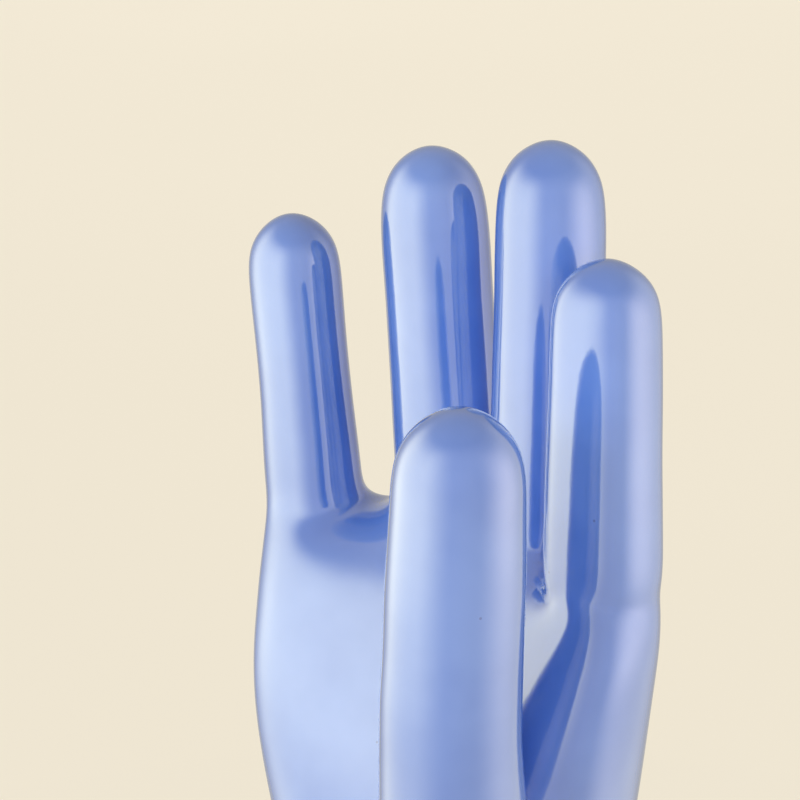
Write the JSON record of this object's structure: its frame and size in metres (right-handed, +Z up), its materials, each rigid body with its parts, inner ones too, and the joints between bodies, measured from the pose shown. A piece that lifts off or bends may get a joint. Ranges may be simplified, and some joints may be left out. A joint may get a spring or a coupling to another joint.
{
  "type": "ceramic hand sculpture",
  "caption": "Upright glazed ceramic right hand with open, smooth, nail-less digits rising from a palm and wrist on a flared foot, standing free on a cork disc.",
  "frame": {"origin": "middle of the underside of the cork disc, on the surface the hand stands on", "axes": "+Z up along the fingers, -Y the way the palm faces, +X towards the thumb side"},
  "size_m": [0.0982, 0.0853, 0.221],
  "materials": {
    "glaze": "glossy",
    "cork": "matte"
  },
  "bodies": {
    "root": {"wrist_and_palm": "glaze", "thumb": "glaze", "index_finger": "glaze", "middle_finger": "glaze", "ring_finger": "glaze", "little_finger": "glaze", "cork_disc": "cork"}
  },
  "joints": []
}
